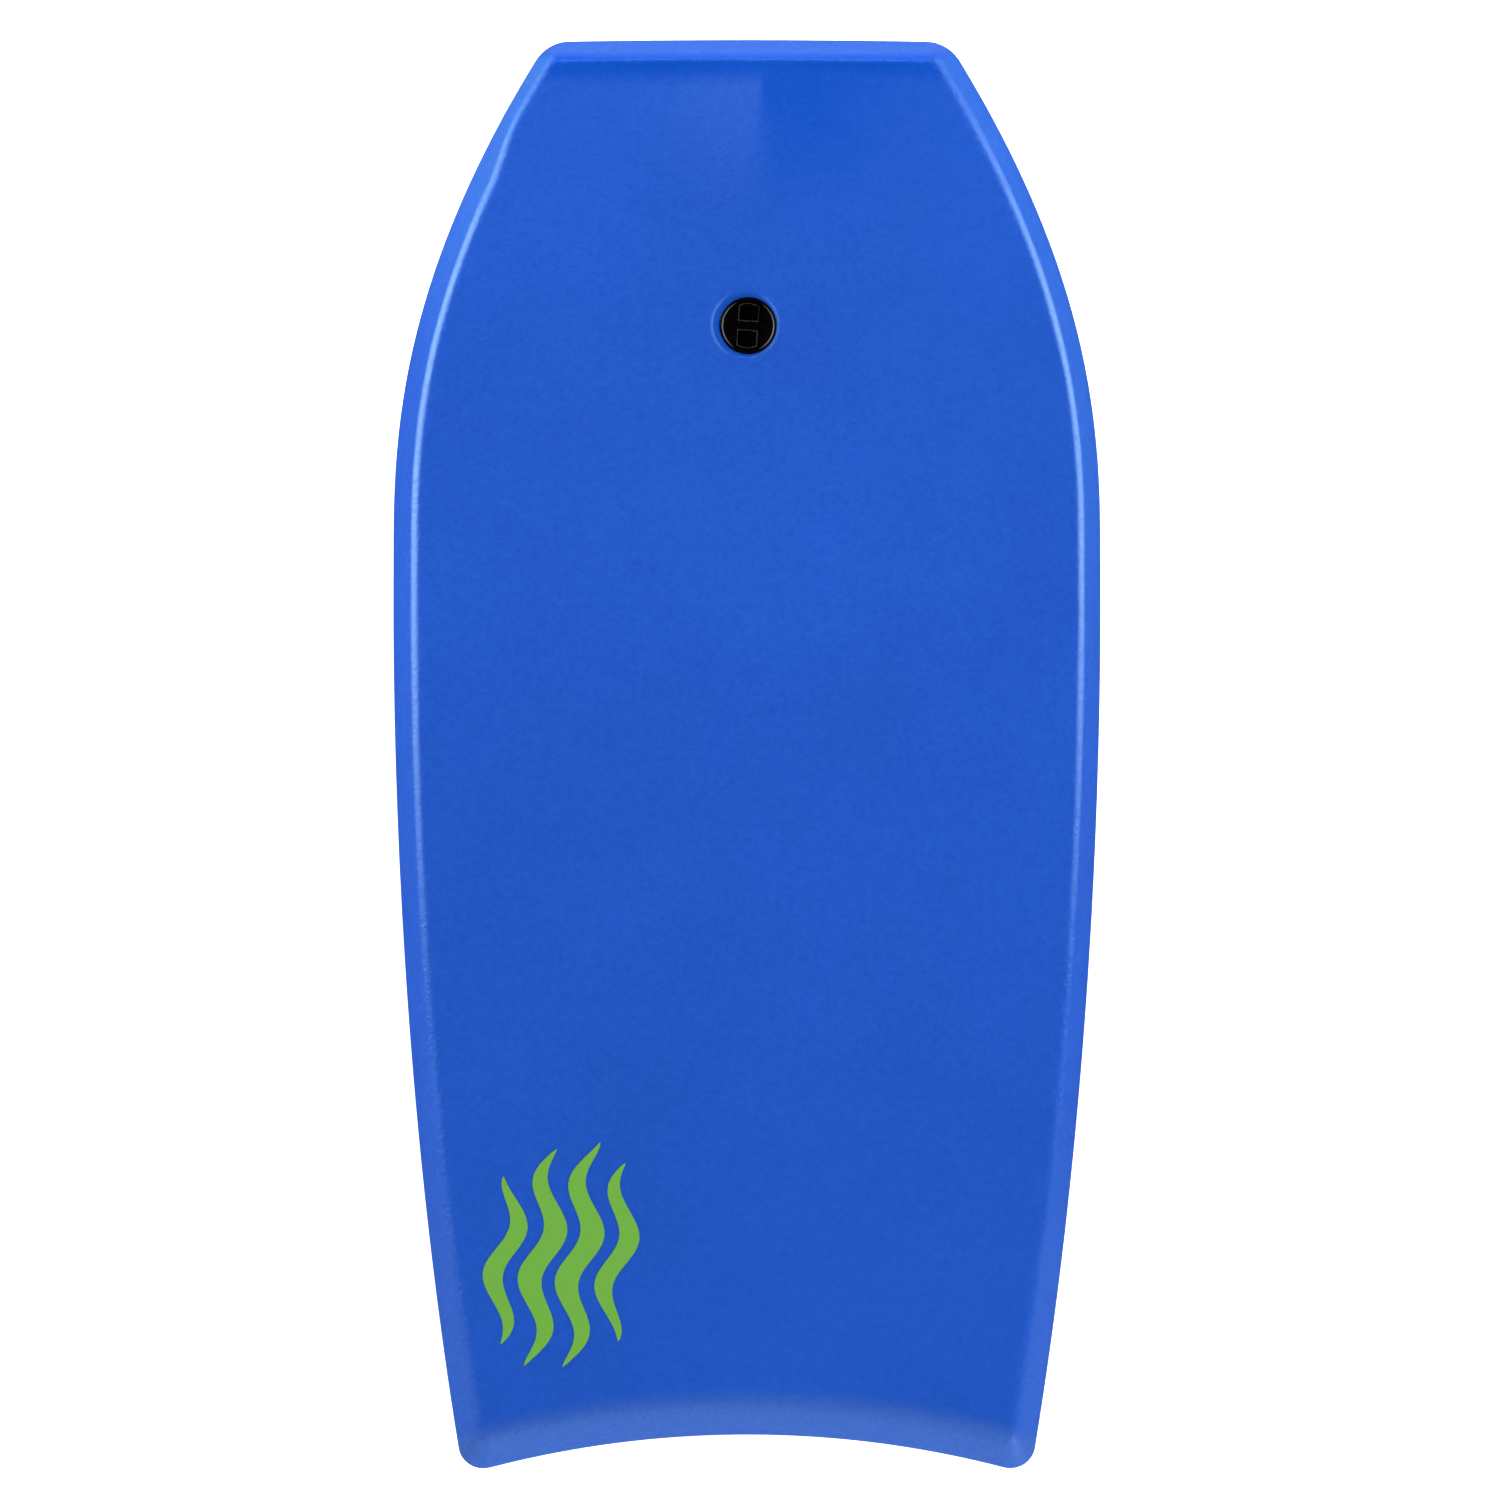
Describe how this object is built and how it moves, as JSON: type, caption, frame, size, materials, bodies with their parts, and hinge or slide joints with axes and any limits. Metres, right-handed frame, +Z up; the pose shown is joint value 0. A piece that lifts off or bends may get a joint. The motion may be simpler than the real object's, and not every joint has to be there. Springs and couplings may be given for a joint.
{
  "type": "bodyboard",
  "caption": "Foam bodyboard with a square nose, full bevelled rails, crescent tail, channelled slick underside and a leash plug in the deck.",
  "frame": {"origin": "middle of the board's plan, on the surface that its slick underside rests on", "axes": "+X across the board to the rider's right, +Y along it from tail to nose, +Z up out of the deck"},
  "size_m": [0.516, 1.041, 0.0755],
  "materials": {
    "deck_foam": "satin",
    "rail_foam": "satin",
    "rail_filler_foam": "matt",
    "core_foam": "matt",
    "slick_plastic": "gloss",
    "stringer_fibre": "satin",
    "stringer_cap_plastic": "matt",
    "plug_plastic": "gloss",
    "graphic_ink": "satin"
  },
  "bodies": {
    "root": {"foam_core": "core_foam", "inner_rail_tail": "rail_filler_foam", "inner_rail_right": "rail_filler_foam", "inner_rail_nose": "rail_filler_foam", "inner_rail_left": "rail_filler_foam", "lower_rail_tail": "rail_foam", "lower_rail_right": "rail_foam", "lower_rail_nose": "rail_foam", "lower_rail_left": "rail_foam", "deck_skin": "deck_foam", "slick_bottom": "slick_plastic", "stringer_tube": "stringer_fibre", "stringer_cap_tail": "stringer_cap_plastic", "stringer_cap_nose": "stringer_cap_plastic", "leash_plug_top": "plug_plastic", "leash_plug_screw": "plug_plastic"}
  },
  "joints": []
}
